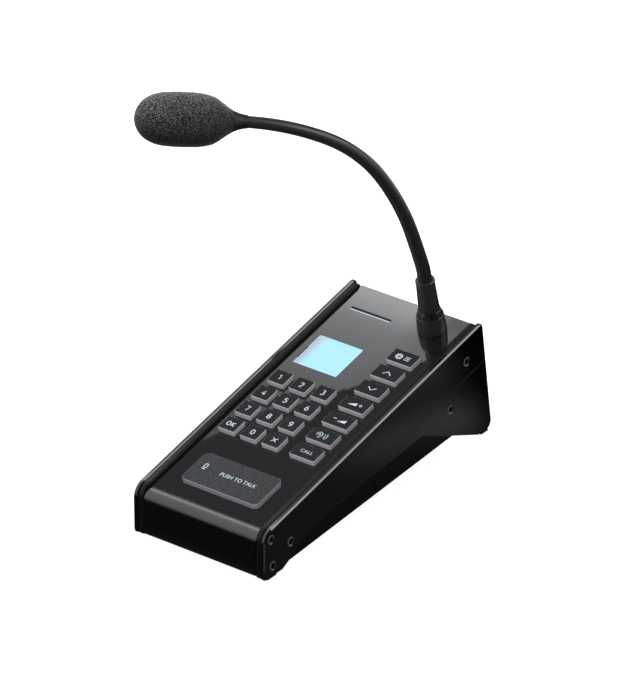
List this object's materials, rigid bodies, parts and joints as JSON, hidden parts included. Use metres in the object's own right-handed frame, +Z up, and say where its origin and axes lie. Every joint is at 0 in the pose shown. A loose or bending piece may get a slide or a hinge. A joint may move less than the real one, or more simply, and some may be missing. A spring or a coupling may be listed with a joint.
{
  "type": "desk paging console",
  "caption": "Sloping desk intercom console with rubber and number keys, small display, talk bar and a bendable gooseneck microphone with foam windscreen.",
  "frame": {"origin": "middle of the underside of the front foot strip, on the table", "axes": "+X to the operator's right, +Y away from the operator towards the rear sockets, +Z up"},
  "size_m": [0.1464, 0.2715, 0.3159],
  "materials": {
    "anodised_aluminium": "black anodised, satin",
    "plain_aluminium": "satin",
    "gloss_acrylic": "high gloss",
    "frame_plastic": "fine satin",
    "cheek_plastic": "fine satin",
    "painted_steel": "fine powder coat",
    "socket_plastic": "matt",
    "black_steel": "black oxide",
    "rubber": "matt",
    "circuit_board": "solder mask",
    "plain_brass": "turned",
    "clear_window": "clear, glossy",
    "lit_panel": "lit",
    "light_bar": "smoked",
    "speaker_paper": "paper cone",
    "boot_rubber": "satin",
    "black_lacquer": "black lacquer, gloss",
    "neck_sheath": "satin",
    "key_plastic": "satin top, grey translucent sides",
    "talk_key": "grained",
    "foam": "open-cell foam"
  },
  "bodies": {
    "console": {"nose_profile": "anodised_aluminium", "deck_plate": "plain_aluminium", "fascia": "gloss_acrylic", "side_frame_left": "frame_plastic", "side_frame_right": "frame_plastic", "cheek_left": "cheek_plastic", "cheek_right": "cheek_plastic", "bottom_tray": "painted_steel", "rear_panel": "painted_steel", "network_socket": "socket_plastic", "extension_socket": "socket_plastic", "cheek_screws": "black_steel", "tray_screws": "black_steel", "rear_screws": "black_steel", "foot_pads": "rubber", "foot_strip": "rubber", "switch_board": "circuit_board", "key_switches": "socket_plastic", "main_board": "circuit_board", "board_chips": "socket_plastic", "board_standoffs": "plain_brass", "display_window": "clear_window", "display_panel": "lit_panel", "display_holder": "socket_plastic", "status_light": "light_bar", "speaker": "speaker_paper", "neck_nut": "plain_brass", "neck_boot": "boot_rubber", "neck_ring": "black_lacquer", "neck_sleeve": "boot_rubber", "neck_stub": "neck_sheath"},
    "key_1": {"key_1": "key_plastic"},
    "key_2": {"key_2": "key_plastic"},
    "key_3": {"key_3": "key_plastic"},
    "key_4": {"key_4": "key_plastic"},
    "key_5": {"key_5": "key_plastic"},
    "key_6": {"key_6": "key_plastic"},
    "key_7": {"key_7": "key_plastic"},
    "key_8": {"key_8": "key_plastic"},
    "key_9": {"key_9": "key_plastic"},
    "key_ok": {"key_ok": "key_plastic"},
    "key_0": {"key_0": "key_plastic"},
    "key_cancel": {"key_cancel": "key_plastic"},
    "key_menu": {"key_menu": "key_plastic"},
    "key_up": {"key_up": "key_plastic"},
    "key_down": {"key_down": "key_plastic"},
    "key_volume_up": {"key_volume_up": "key_plastic"},
    "key_volume_down": {"key_volume_down": "key_plastic"},
    "key_monitor": {"key_monitor": "key_plastic"},
    "key_call": {"key_call": "key_plastic"},
    "key_talk": {"key_talk": "talk_key"},
    "neck_link": {"neck_link": "neck_sheath"},
    "neck_lower": {"neck_lower": "neck_sheath"},
    "neck_middle": {"neck_middle": "neck_sheath"},
    "head": {"neck_upper": "neck_sheath", "mic_collar": "boot_rubber", "mic_tube": "plain_aluminium", "mic_capsule": "plain_aluminium", "windscreen": "foam"}
  },
  "joints": [
    {"name": "key_1_press", "type": "slide", "parent": "console", "child": "key_1", "axis": [0, 0.2079, -0.9781], "range_m": [0, 0.0012], "stiffness_N_per_m": 500, "springref_m": -0.0006},
    {"name": "key_2_press", "type": "slide", "parent": "console", "child": "key_2", "axis": [0, 0.2079, -0.9781], "range_m": [0, 0.0012], "stiffness_N_per_m": 500, "springref_m": -0.0006},
    {"name": "key_3_press", "type": "slide", "parent": "console", "child": "key_3", "axis": [0, 0.2079, -0.9781], "range_m": [0, 0.0012], "stiffness_N_per_m": 500, "springref_m": -0.0006},
    {"name": "key_4_press", "type": "slide", "parent": "console", "child": "key_4", "axis": [0, 0.2079, -0.9781], "range_m": [0, 0.0012], "stiffness_N_per_m": 500, "springref_m": -0.0006},
    {"name": "key_5_press", "type": "slide", "parent": "console", "child": "key_5", "axis": [0, 0.2079, -0.9781], "range_m": [0, 0.0012], "stiffness_N_per_m": 500, "springref_m": -0.0006},
    {"name": "key_6_press", "type": "slide", "parent": "console", "child": "key_6", "axis": [0, 0.2079, -0.9781], "range_m": [0, 0.0012], "stiffness_N_per_m": 500, "springref_m": -0.0006},
    {"name": "key_7_press", "type": "slide", "parent": "console", "child": "key_7", "axis": [0, 0.2079, -0.9781], "range_m": [0, 0.0012], "stiffness_N_per_m": 500, "springref_m": -0.0006},
    {"name": "key_8_press", "type": "slide", "parent": "console", "child": "key_8", "axis": [0, 0.2079, -0.9781], "range_m": [0, 0.0012], "stiffness_N_per_m": 500, "springref_m": -0.0006},
    {"name": "key_9_press", "type": "slide", "parent": "console", "child": "key_9", "axis": [0, 0.2079, -0.9781], "range_m": [0, 0.0012], "stiffness_N_per_m": 500, "springref_m": -0.0006},
    {"name": "key_ok_press", "type": "slide", "parent": "console", "child": "key_ok", "axis": [0, 0.2079, -0.9781], "range_m": [0, 0.0012], "stiffness_N_per_m": 500, "springref_m": -0.0006},
    {"name": "key_0_press", "type": "slide", "parent": "console", "child": "key_0", "axis": [0, 0.2079, -0.9781], "range_m": [0, 0.0012], "stiffness_N_per_m": 500, "springref_m": -0.0006},
    {"name": "key_cancel_press", "type": "slide", "parent": "console", "child": "key_cancel", "axis": [0, 0.2079, -0.9781], "range_m": [0, 0.0012], "stiffness_N_per_m": 500, "springref_m": -0.0006},
    {"name": "key_menu_press", "type": "slide", "parent": "console", "child": "key_menu", "axis": [0, 0.2079, -0.9781], "range_m": [0, 0.0012], "stiffness_N_per_m": 500, "springref_m": -0.0006},
    {"name": "key_up_press", "type": "slide", "parent": "console", "child": "key_up", "axis": [0, 0.2079, -0.9781], "range_m": [0, 0.0012], "stiffness_N_per_m": 500, "springref_m": -0.0006},
    {"name": "key_down_press", "type": "slide", "parent": "console", "child": "key_down", "axis": [0, 0.2079, -0.9781], "range_m": [0, 0.0012], "stiffness_N_per_m": 500, "springref_m": -0.0006},
    {"name": "key_volume_up_press", "type": "slide", "parent": "console", "child": "key_volume_up", "axis": [0, 0.2079, -0.9781], "range_m": [0, 0.0012], "stiffness_N_per_m": 500, "springref_m": -0.0006},
    {"name": "key_volume_down_press", "type": "slide", "parent": "console", "child": "key_volume_down", "axis": [0, 0.2079, -0.9781], "range_m": [0, 0.0012], "stiffness_N_per_m": 500, "springref_m": -0.0006},
    {"name": "key_monitor_press", "type": "slide", "parent": "console", "child": "key_monitor", "axis": [0, 0.2079, -0.9781], "range_m": [0, 0.0012], "stiffness_N_per_m": 500, "springref_m": -0.0006},
    {"name": "key_call_press", "type": "slide", "parent": "console", "child": "key_call", "axis": [0, 0.2079, -0.9781], "range_m": [0, 0.0012], "stiffness_N_per_m": 500, "springref_m": -0.0006},
    {"name": "key_talk_press", "type": "slide", "parent": "console", "child": "key_talk", "axis": [0, 0.2079, -0.9781], "range_m": [0, 0.0012], "stiffness_N_per_m": 900, "springref_m": -0.0006},
    {"name": "neck_side_bend", "type": "hinge", "parent": "console", "child": "neck_link", "pos_m": [0.02614, 0.21137, 0.14484], "axis": [-0.5771, -0.7614, -0.2953], "range_deg": [-25, 25]},
    {"name": "neck_lower_bend", "type": "hinge", "parent": "neck_link", "child": "neck_lower", "pos_m": [0.02382, 0.20243, 0.17127], "axis": [0.8131, -0.5694, -0.121], "range_deg": [-25, 15]},
    {"name": "neck_middle_bend", "type": "hinge", "parent": "neck_lower", "child": "neck_middle", "pos_m": [0.0144, 0.17801, 0.22285], "axis": [0.8131, -0.5694, -0.121], "range_deg": [-40, 20]},
    {"name": "neck_upper_bend", "type": "hinge", "parent": "neck_middle", "child": "head", "pos_m": [-0.00569, 0.141, 0.26198], "axis": [0.8131, -0.5694, -0.121], "range_deg": [-40, 30]}
  ]
}
